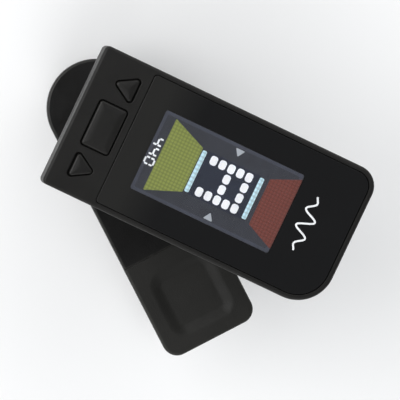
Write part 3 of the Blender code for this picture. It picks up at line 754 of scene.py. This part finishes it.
def swivel_base():
    low, top = BASE_LOW.z, extent("swivel_screw", TURN)[1].z + 0.7 * MM
    radius = BASE_HIGH.x
    groove = radius - 1.3 * MM
    profile = [(0, top), (groove - 0.2 * MM, top), (groove, top - 0.2 * MM),
               (groove + 0.2 * MM, top), *rim(radius, low, top, 0.15 * MM, 0.5 * MM)[1:]]
    obj = turned("swivel_base", profile, TURN, 96)
    axis = ARM.translation - TURN.translation
    rise = axis.length - top
    join(obj, hinge_ears(ARM, rise + 0.3 * MM, 1))
    bore = rim(SWIVEL_SHANK, low - PAST, top - 0.5 * MM)
    combine(obj, [turned("bore", bore, TURN, 40), pin_hole(ARM)])
    done(obj, "turntable", HINGE)


def link_plan(radius, length, start=0.0):
    """A link's side view: two round ends joined by straight sides."""
    def plan(inset=0.0):
        reach = radius - inset
        return (arc((0, start), reach, 180, 360, 32) + arc((0, start + length), reach, 0, 180, 32))

    return plan


def hinge_arm():
    half = ARM_HIGH.x
    edges = walls(-half, half, 0.35 * MM, 0.35 * MM)
    obj = loft("hinge_arm", link_plan(BARREL, ARM_LENGTH), edges, ARM, across=True)
    pocket = link_plan(0.9 * MM, ARM_LENGTH - 7.0 * MM, 3.5 * MM)
    pockets = both_sides("pocket", pocket, half - 0.5 * MM, half + PAST, ARM)
    combine(obj, [*pockets, pin_hole(ARM), pin_hole(HEAD)])
    done(obj, "arm", HINGE)


def hinge_pin(name, place, body):
    end = extent(name, place)[1].x
    profile = rim(HINGE_PIN, -end, end, 0.25 * MM, 0.25 * MM)
    obj = turned(name, profile, place, 48, across=True)
    plan = rectangle(3 * MM, 0.3 * MM, 0.02 * MM, steps=2)
    combine(obj, both_sides("slot", plan, end - 0.3 * MM, end + PAST, place))
    done(obj, body, STEEL)


# Display head


BACK = extent("battery_cap", HEAD)[0].z
FACE = HEAD_HIGH.z
COVER_TOP = extent("rear_cover", HEAD)[1].z
WINDOW_LOW, WINDOW_HIGH = extent("display_window", HEAD)
PANEL_LOW, PANEL_HIGH = extent("lcd_panel", HEAD)
SQUARE_CORNER = 0.9 * MM
FAR_CORNER_LEFT = 3.8 * MM
FAR_CORNER_RIGHT = 6.8 * MM
WALL = 1.2 * MM
WINDOW_MARGIN = 1.05 * MM
SEAT_MARGIN = 0.9 * MM
WINDOW_CORNER = 1.6 * MM
LIP = 0.55 * MM  # the rear cover's rim stands inside the front bezel's, behind the seam
CAVITY_TOP = 7.4 * MM
KEY_CAVITY_TOP = 8.2 * MM
LEDGE_TOP = 8.3 * MM
BOSS = 1.7 * MM
CASE_HOLE = 0.8 * MM
CASE_POCKET, CASE_LIP = 1.5 * MM, 1.65 * MM  # round a case screw's head, inside and at the back
CAP_RADIUS = 11.2 * MM
CAP_HOLE = 11.4 * MM
TAB_REACH, NOTCH_REACH = 12.0 * MM, 12.2 * MM
TAB_TURN, NOTCH_TURN = 90, 60  # degrees to the middle of the first of three
TAB_HALF, NOTCH_HALF = 11, 12.5
CAP_MIDDLE = tuple((HEAD.inverted() @ Vector(JOINTS["battery_cap_turn"]["pos_m"])).xy)
SCREWS = [f"case_screw_{number}" for number in (1, 2, 3, 4)]
BUTTONS = ("power_button", "up_button", "down_button")


def head_plan(start=HEAD_LOW.y, near=SQUARE_CORNER):
    """The head's plan, or the part of it beyond a start."""
    def plan(inset=0.0):
        x, y = HEAD_HIGH.x - inset, HEAD_HIGH.y - inset
        return rounded([(-x, start + inset, near - inset), (x, start + inset, near - inset),
                        (x, y, FAR_CORNER_RIGHT - inset), (-x, y, FAR_CORNER_LEFT - inset)], 16)

    return plan


def drawn_in(plan, by):
    return lambda inset=0.0: plan(inset + by)


def window_plan(margin):
    """The window plate's outline, or its seat's, a margin in from the housing's."""
    return drawn_in(head_plan(WINDOW_LOW.y - WINDOW_MARGIN, WINDOW_CORNER), margin)


def centre_of(node):
    """The middle of a node of the head, in the head's plan."""
    low, high = extent(node, HEAD)
    return tuple(((low + high) / 2).xy)


def button_plan(name, grow=0.0):
    middle = centre_of(name)
    if name == "power_button":
        return rectangle(8.5 * MM + 2 * grow, 5.2 * MM + 2 * grow, 0.5 * MM + grow, middle)
    return triangle(4.8 * MM + 4 * grow, 4.1 * MM + 3 * grow, 0.45 * MM + grow, middle,
                    name == "up_button")


def at_back(profile):
    """A turned profile whose heights are above the head's back."""
    return [(radius, BACK + height) for radius, height in profile]


def at_screws(name, profile):
    """A turned shape at each case screw."""
    return [turned(name, profile, HEAD, 32, middle=centre_of(screw)) for screw in SCREWS]


def front_bezel():
    low = HEAD_LOW.z
    obj = loft("front_bezel", head_plan(), walls(low, FACE, 0.12 * MM, 0.55 * MM, 8), HEAD)
    hollow = drawn_in(head_plan(), WALL)
    depth = 11.0 * MM
    key_space = rectangle(2 * (HEAD_HIGH.x - WALL - 0.2 * MM), depth, 0.5 * MM,
                          (0, HEAD_LOW.y + WALL + 0.2 * MM + depth / 2))
    size = PANEL_HIGH - PANEL_LOW
    screen = rectangle(size.x + 0.6 * MM, size.y + 0.6 * MM, 0.5 * MM, centre_of("lcd_panel"))
    cutters = [
        loft("hollow", hollow, [(-LIP, low - PAST), (-LIP, low + LIP), (0, low + LIP),
                                (0, BACK + CAVITY_TOP)], HEAD),
        loft("key_space", key_space, [(0, low - 0.5 * MM), (0, BACK + KEY_CAVITY_TOP)], HEAD),
        loft("seat", window_plan(SEAT_MARGIN), flared(BACK + LEDGE_TOP, FACE, 0.06 * MM), HEAD),
        loft("screen_hole", screen, [(0, low - 0.6 * MM), (0, FACE - 0.2 * MM)], HEAD),
    ]
    for name in BUTTONS:
        hole = button_plan(name, 0.22 * MM)
        cutters.append(loft("key_hole", hole, flared(low, FACE, 0.15 * MM), HEAD))
    combine(obj, cutters)
    boss = at_back(rim(BOSS, low - BACK + 0.1 * MM, CAVITY_TOP + 0.3 * MM))
    pilot = at_back(rim(CASE_HOLE, low - BACK - PAST, CAVITY_TOP - 0.6 * MM))
    join(obj, at_screws("boss", boss))
    combine(obj, at_screws("pilot", pilot))
    done(obj, "head", HOUSING, 32)


def cap_hole_plan(inset=0.0):
    """The battery hole: a circle with a notch for each tab, at the unlocked turn."""
    points = []
    for tab in range(3):
        start, end = (NOTCH_TURN + tab * 120 + side for side in (-NOTCH_HALF, NOTCH_HALF))
        points += arc(CAP_MIDDLE, NOTCH_REACH + inset, start, end, 8)
        points += arc(CAP_MIDDLE, CAP_HOLE + inset, end + 0.5, start + 119.5, 40)
    return points


def rear_cover():
    obj = loft("rear_cover", head_plan(), walls(BACK, COVER_TOP, 0.9 * MM, 0.12 * MM, 8), HEAD)
    lip = drawn_in(head_plan(), WALL - LIP + 0.05 * MM)
    lip_top = HEAD_LOW.z + LIP - 0.1 * MM
    join(obj, [loft("lip", lip, [(0, COVER_TOP - LIP), (0, lip_top)], HEAD)])
    hollow = drawn_in(head_plan(), WALL)
    combine(obj, [loft("hollow", hollow, [(0, BACK + WALL), (0, COVER_TOP + 2 * MM)], HEAD)])
    pillar = at_back(rim(BOSS + 0.2 * MM, WALL / 2, COVER_TOP - BACK - 0.1 * MM))
    seat = at_back([(0, 5 * MM), (CASE_HOLE, 5 * MM), (CASE_HOLE, 1.5 * MM),
                    (CASE_POCKET, 1.5 * MM), (CASE_POCKET, 0.15 * MM), (CASE_LIP, 0),
                    (CASE_LIP, -PAST), (0, -PAST)])
    join(obj, [*hinge_ears(HEAD, BACK + 0.4 * MM, -1), *at_screws("pillar", pillar)])
    hole = [(0, BACK - PAST), (0, BACK + WALL + 0.5 * MM)]
    combine(obj, [*at_screws("seat", seat), loft("battery_hole", cap_hole_plan, hole, HEAD),
                  pin_hole(HEAD)])
    done(obj, "head", HOUSING, 32)


def case_screws():
    for name in SCREWS:
        low, high = extent(name, HEAD)
        middle = centre_of(name)
        head, shank = 1.4 * MM, 0.7 * MM
        neck = low.z + 1.0 * MM
        thread = []
        z, pitch = high.z - 0.5 * MM, 0.4 * MM
        while z > neck + pitch:
            thread += [(shank - 0.12 * MM, z), (shank, z - pitch / 2)]
            z -= pitch
        profile = [(0, high.z), (shank * 0.4, high.z), *thread, (shank, neck + 0.2 * MM),
                   (shank, neck), (head, neck), (head, low.z + 0.25 * MM),
                   (head - 0.3 * MM, low.z), (0, low.z)]
        obj = turned(name, profile, HEAD, 40, middle=middle)
        slots = []
        for width, height in ((1.7 * MM, 0.42 * MM), (0.42 * MM, 1.7 * MM)):
            plan = rectangle(width, height, 0.08 * MM, middle, 3)
            depths = [(0.15 * MM, low.z + 0.6 * MM), (0, low.z + 0.2 * MM), (0, low.z - PAST)]
            slots.append(loft("slot", plan, depths, HEAD))
            slots[-1].data.flip_normals()  # its profile runs downwards
        combine(obj, slots)
        done(obj, "head", STEEL)


def buttons():
    """Caps with rounded edges and a slight crown, each on its flange."""
    for name in BUTTONS:
        low, high = extent(name, HEAD)
        plan = button_plan(name)
        profile = walls(low.z + 0.1 * MM, high.z - 0.1 * MM, 0, 0.35 * MM, 6)
        rise = 0.1 * MM
        crown = [(0.35 * MM + 0.25 * MM * i, high.z - rise + rise * (1 - (1 - i / 4) ** 2))
                 for i in range(1, 5)]
        obj = loft(name, plan, profile + crown, HEAD)
        flange = loft("flange", button_plan(name, 0.5 * MM), [(0, low.z), (0, low.z + 0.5 * MM)], HEAD)
        join(obj, [flange])
        done(obj, name, KEYS, 40)


def battery_cap():
    """A round cap with a coin slot, a raised rim and three tabs behind the cover's floor."""
    middle, radius = CAP_MIDDLE, CAP_RADIUS
    ring = radius - 0.9 * MM
    profile = at_back([(0, WALL), (ring, WALL), (ring, 2.2 * MM), (radius, 2.2 * MM),
                       *[(radius - 0.35 * MM * (1 - math.cos(a)), 0.35 * MM * (1 - math.sin(a)))
                         for a in (math.radians(15 * i) for i in range(7))],
                       (radius - 1.2 * MM, 0), (radius - 1.4 * MM, 0.18 * MM),
                       (radius - 1.8 * MM, 0.18 * MM), (radius - 2.0 * MM, 0), (0, 0)])
    obj = turned("battery_cap", profile, HEAD, 128, middle=middle)
    tabs = []
    for tab in range(3):
        start, end = (TAB_TURN + tab * 120 + side for side in (-TAB_HALF, TAB_HALF))
        outline = (arc(middle, TAB_REACH, start, end, 8)
                   + arc(middle, radius - 0.4 * MM, end, start, 8))
        tabs.append(loft("tab", lambda inset, points=outline: points,
                         [(0, BACK + 1.5 * MM), (0, BACK + 2.15 * MM)], HEAD))
    join(obj, tabs)
    slot = rectangle(11.0 * MM, 1.8 * MM, 0.85 * MM, middle)
    cutters = [loft("slot", slot, [(-0.15 * MM, BACK - PAST), (-0.15 * MM, BACK),
                                   (0, BACK + 0.15 * MM), (0, BACK + 0.7 * MM)], HEAD)]
    for sign in (-1, 1):
        dot = rim(0.45 * MM, BACK - PAST, BACK + 0.25 * MM)
        place = (middle[0], middle[1] + sign * 6.5 * MM)
        cutters.append(turned("dot", dot, HEAD, 24, middle=place))
    combine(obj, cutters)
    done(obj, "battery_cap", HOUSING, 32)


# Screen


SCREEN = (15.4 * MM, 27.3 * MM)
FILM = 0.02 * MM  # thickness of a printed or lit figure
NEARLY = 1e-6
NOTE_Y = 29.6 * MM  # middle of the note, from the square end
TILE = (1.7 * MM, 1.32 * MM)
TILE_PITCH = (2.03 * MM, 1.74 * MM)
SCREEN_MIDDLE = (PANEL_LOW.y + PANEL_HIGH.y) / 2


def from_square_end(distance):
    return HEAD_LOW.y + distance


def is_inside(face):
    """True for a border triangle that fell inside the clear opening."""
    spot = face.calc_center_median()
    flat = abs(face.normal.z) > 0.99
    return (flat and abs(spot.x) < SCREEN[0] / 2 - NEARLY
            and abs(spot.y - SCREEN_MIDDLE) < SCREEN[1] / 2 - NEARLY)


def display_window():
    """One acrylic plate: black behind its border, clear over the lit area."""
    low, high = WINDOW_LOW.z, WINDOW_HIGH.z
    outer = window_plan(WINDOW_MARGIN)
    opening = rectangle(*SCREEN, 0.4 * MM, (0, SCREEN_MIDDLE), 6)
    shape = bmesh.new()
    rings = [[shape.verts.new((x, y, z)) for x, y in outer(inset)]
             for inset, z in walls(low, high, 0.05 * MM, 0.07 * MM, 4)]
    for lower, upper in zip(rings, rings[1:]):
        bridge(shape, lower, upper)
    for z, ring in ((low, rings[0]), (high, rings[-1])):
        inner = [shape.verts.new((x, y, z)) for x, y in opening()]
        edges = [shape.edges.get((ring[i - 1], ring[i])) for i in range(len(ring))]
        edges += [shape.edges.new((inner[i - 1], inner[i])) for i in range(len(inner))]
        bmesh.ops.triangle_fill(shape, edges=edges, use_beauty=True)
        shape.faces.new(inner).material_index = 1
    for face in [f for f in shape.faces if f.material_index == 0 and is_inside(f)]:
        shape.faces.remove(face)
    bmesh.ops.recalc_face_normals(shape, faces=shape.faces)
    mesh = to_mesh("display_window", shape)
    mesh.materials.append(WINDOW)
    mesh.materials.append(CLEAR)
    obj = new_object("display_window", mesh, HEAD)
    done(obj, "head", None)


def trapezoid(y_wide, half_wide, y_narrow, half_narrow):
    """A plan with its wide end at one height above the square end and its narrow at another."""
    a, b = from_square_end(y_wide), from_square_end(y_narrow)
    if a < b:
        corners = [(-half_wide, a), (half_wide, a), (half_narrow, b), (-half_narrow, b)]
    else:
        corners = [(-half_narrow, b), (half_narrow, b), (half_wide, a), (-half_wide, a)]
    return lambda inset=0.0: rounded([(x, y, 0.15 * MM) for x, y in corners], 3)


def figure(name, plans, layer, material):
    """A flat figure of one or more patches; a higher layer lies on top of a lower one."""
    low = PANEL_HIGH.z + layer * 1.5 * FILM
    shape = bmesh.new()
    for plan in plans:
        rings = [[shape.verts.new((x, y, z)) for x, y in plan()] for z in (low, low + FILM)]
        bridge(shape, *rings)
        shape.faces.new(rings[0][::-1])
        shape.faces.new(rings[1])
    done(new_object(name, to_mesh(name, shape), HEAD), "head", material)


def letter_tiles(middle):
    """A letter A of wide tiles, four across and five up."""
    for row, line in enumerate(("1111", "1001", "1111", "1001", "1001")):
        for column, mark in enumerate(line):
            if mark == "1":
                spot = (middle[0] + (column - 1.5) * TILE_PITCH[0],
                        middle[1] + (2 - row) * TILE_PITCH[1])
                yield rectangle(*TILE, 0.5 * MM, spot, 5)


DIGITS = {  # strokes of a digit, each as ends in halves of its width and quarters of its height
    "4": (((-1, 2), (-1, 0)), ((1, 2), (1, 0)), ((-1, 0), (1, 0)), ((1, 0), (1, -2))),
    "0": (((-1, 2), (1, 2)), ((-1, -2), (1, -2)), ((-1, 2), (-1, 0)), ((1, 2), (1, 0)),
          ((-1, 0), (-1, -2)), ((1, 0), (1, -2))),
}


def digit_strokes(digit, middle, width, height):
    """The strokes of a digit, with a small gap where two of them meet."""
    stroke, gap = 0.34 * MM, 0.2 * MM
    for (x0, y0), (x1, y1) in DIGITS[digit]:
        spot = (middle[0] + (x0 + x1) * width / 4, middle[1] + (y0 + y1) * height / 8)
        size = (abs(x1 - x0) * width / 2 - gap, abs(y1 - y0) * height / 4 - gap)
        yield rectangle(max(size[0], stroke), max(size[1], stroke), 0.12 * MM, spot, 3)


def screen():
    size = PANEL_HIGH - PANEL_LOW
    panel = rectangle(size.x, size.y, 0.3 * MM, (0, SCREEN_MIDDLE))
    edges = walls(PANEL_LOW.z, PANEL_HIGH.z, 0.05 * MM, 0.05 * MM, 3)
    done(loft("lcd_panel", panel, edges, HEAD), "head",
         lit("lcd_surround", srgb(20, 21, 24)))
    white = lit("screen_white", srgb(250, 251, 253), strength=0.72)
    cyan = lit("screen_cyan", srgb(200, 232, 242), 0.8 * MM, 0.62)
    ground = lit("screen_ground", srgb(56, 58, 66))
    border = lit("screen_border", srgb(73, 76, 88))
    middle = (0, SCREEN_MIDDLE)
    figure("screen_border", [rectangle(15.3 * MM, 27.2 * MM, 0.4 * MM, middle)], 1, border)
    figure("screen_ground", [rectangle(14.1 * MM, 26.0 * MM, 0.3 * MM, middle)], 2, ground)
    figure("flat_zone", [trapezoid(16.9 * MM, 6.95 * MM, 23.4 * MM, 4.3 * MM)], 3,
           lit("screen_green", srgb(140, 150, 74), 0.62 * MM))
    figure("sharp_zone", [trapezoid(41.9 * MM, 6.8 * MM, 36.6 * MM, 4.4 * MM)], 3,
           lit("screen_red", srgb(120, 61, 51), 0.62 * MM))
    note = (0, from_square_end(NOTE_Y))
    figure("note_ground", [rectangle(8.5 * MM, 10.6 * MM, 0.3 * MM, note)], 3,
           lit("screen_navy", srgb(38, 44, 60)))
    bars = [rectangle(8.0 * MM, 0.85 * MM, 0.25 * MM, (0, from_square_end(y)), 4)
            for y in (24.0 * MM, 35.3 * MM)]
    figure("note_bars", bars, 4, cyan)
    figure("note_letter", letter_tiles(note), 4, white)
    marks = []
    for sign in (-1, 1):
        x, y = sign * 6.3 * MM, note[1]
        corners = [(x - sign * 0.8 * MM, y), (x + sign * 0.6 * MM, y - sign * 0.9 * MM),
                   (x + sign * 0.6 * MM, y + sign * 0.9 * MM)]
        marks.append(lambda c=corners: rounded([(*spot, 0.12 * MM) for spot in c], 4))
    figure("note_marks", marks, 3, lit("screen_grey", srgb(190, 196, 202)))
    digits = []
    for index, digit in enumerate("440"):
        spot = ((index - 1) * 1.9 * MM, from_square_end(15.75 * MM))
        digits += digit_strokes(digit, spot, 1.2 * MM, 1.7 * MM)
    figure("pitch_label", digits, 4, white)


def wave_mark():
    """A burst of a plain sine wave, printed on the window beyond the screen."""
    half, swing, stroke = 5.2 * MM, 1.5 * MM, 0.17 * MM
    steps, periods = 120, 3
    y = from_square_end(45.6 * MM)
    curve = []
    for i in range(steps + 1):
        share = i / steps
        burst = math.sin(math.pi * share)
        curve.append(Vector((half * (2 * share - 1),
                             y + swing * burst * math.sin(2 * math.pi * periods * share))))
    lower, upper = [], []
    for i, spot in enumerate(curve):
        run = (curve[min(i + 1, steps)] - curve[max(i - 1, 0)]).normalized()
        side = Vector((-run.y, run.x)) * stroke
        lower.append(tuple(spot - side))
        upper.append(tuple(spot + side))
    outline = lower + upper[::-1]
    low = WINDOW_HIGH.z
    obj = loft("wave_mark", lambda inset: outline, [(0, low), (0, low + FILM)], HEAD)
    done(obj, "head", INK)


# CAD nodes that keep their shape


def carried_over():
    kept = {
        "swivel_screw": STEEL, "swivel_washer": SPRING, "coin_cell": CELL,
        "battery_contact_plus": BRASS, "battery_contact_minus": BRASS, "main_pcb": BOARD,
        "tuner_chip": EPOXY, "quartz_crystal": CELL, "piezo_sensor": BRASS,
        "power_switch": EPOXY, "up_switch": EPOXY, "down_switch": EPOXY,
        "backlight": DIFFUSER, "lcd_connector": STRIP,
    }
    for name, material in kept.items():
        node = frame["nodes"][name]
        node.data.materials.clear()
        node.data.materials.append(material)


# Floor, light and camera


VIEW_ROLL = 25.55  # degrees that the head's far end points below the image's right
VIEW_DISTANCE = 1.15
VIEW_OFFSET = (-0.093, 0.040)  # the photograph's camera stood left of the tuner and above it
FILLED = 0.82  # share of the image that the tuner fills
SENSOR = 36
HORIZON, OVERHEAD = 1.0, 0.33  # how bright the sky is
LIGHTS = (  # name, direction to the right, up and outward, distance, size, radiance
    ("key", (-1.0, 0.25, 1.25), 1.0, 0.9, 3.4),
    ("fill", (0.6, 1.1, 1.2), 1.3, 1.0, 1.3),
    ("low", (-0.1, -1.2, 0.8), 1.3, 1.0, 1.6),
)


def floor():
    size, low = 3.0, -0.05 * MM
    mesh = bpy.data.meshes.new("floor")
    corners = [(x * size, y * size, low) for x, y in ((-1, -1), (1, -1), (1, 1), (-1, 1))]
    mesh.from_pydata(corners, [], [(0, 1, 2, 3)])
    obj = new_object("floor", mesh, Matrix.Identity(4))
    material, tree, shader = nodes_of("paper")
    cloud = noise(object_place(tree), 8, 3)
    feed(shader, Base_Color=tint(cloud, (0.86, 0.86, 0.86), (0.9, 0.9, 0.9)), Roughness=0.9)
    mesh.materials.append(material)


def softbox(name, direction, distance, size, radiance, target):
    """A square area light, which looks equally bright from wherever it is seen."""
    light = bpy.data.lights.new(name, "AREA")
    light.size = size
    light.energy = radiance * math.pi * size * size
    obj = bpy.data.objects.new(name, light)
    obj.location = target + direction.normalized() * distance
    obj.rotation_mode = "QUATERNION"
    obj.rotation_quaternion = (target - obj.location).to_track_quat("-Z", "Y")
    bpy.context.scene.collection.objects.link(obj)


def sky():
    """Soft light from all round, brighter near the horizon than overhead."""
    world = bpy.data.worlds.new("studio")
    world.use_nodes = True
    tree = world.node_tree
    everywhere = add_node(tree, "ShaderNodeTexCoord").outputs["Generated"]
    rise = add_node(tree, "ShaderNodeSeparateXYZ", Vector=everywhere).outputs["Z"]
    feed(tree.nodes["Background"], Color=(0.96, 0.98, 1.0, 1),
         Strength=spread(rise, HORIZON, OVERHEAD, 0.0, 0.9))
    bpy.context.scene.world = world


def studio():
    """The view and light of the photograph: face on, the far end of the head down and right."""
    turn = math.radians(VIEW_ROLL)
    over, down, outward = (Vector(HEAD.col[i][:3]) for i in range(3))
    right = down * math.cos(turn) - over * math.sin(turn)
    up = -down * math.sin(turn) - over * math.cos(turn)
    view = Matrix((right, up, outward)).transposed().to_4x4()
    corners = [extent(node, view) for node in ("front_jaw", "front_bezel")]
    low = Vector(min(pair[0][i] for pair in corners) for i in range(3))
    high = Vector(max(pair[1][i] for pair in corners) for i in range(3))
    target = view @ ((low + high) / 2)
    camera = bpy.data.cameras.new("camera")
    camera.sensor_width = SENSOR
    camera.lens = SENSOR * VIEW_DISTANCE * FILLED / max(high.x - low.x, high.y - low.y)
    camera.clip_start, camera.clip_end = 0.05, 10
    spot = target + right * VIEW_OFFSET[0] + up * VIEW_OFFSET[1] + outward * VIEW_DISTANCE
    look = (target - spot).normalized()
    side = look.cross(up).normalized()
    turn = Matrix((side, side.cross(look), -look)).transposed().to_4x4()
    bpy.context.scene.camera = new_object("camera", camera, Matrix.Translation(spot) @ turn)
    for name, place, distance, size, radiance in LIGHTS:
        direction = right * place[0] + up * place[1] + outward * place[2]
        softbox(name, direction, distance, size, radiance, target)
    bpy.context.scene.view_settings.view_transform = "Standard"


jaw("rear_jaw", REAR, "rear_clip", -1)
jaw("front_jaw", FRONT, "front_clip", 1)
pad("rear_pad", REAR, "rear_clip", -1)
pad("front_pad", FRONT, "front_clip", 1)
clip_pin()
torsion_spring()
swivel_base()
hinge_arm()
hinge_pin("base_hinge_pin", ARM, "turntable")
hinge_pin("head_hinge_pin", HEAD, "head")
front_bezel()
rear_cover()
case_screws()
buttons()
battery_cap()
display_window()
screen()
wave_mark()
carried_over()
floor()
sky()
studio()
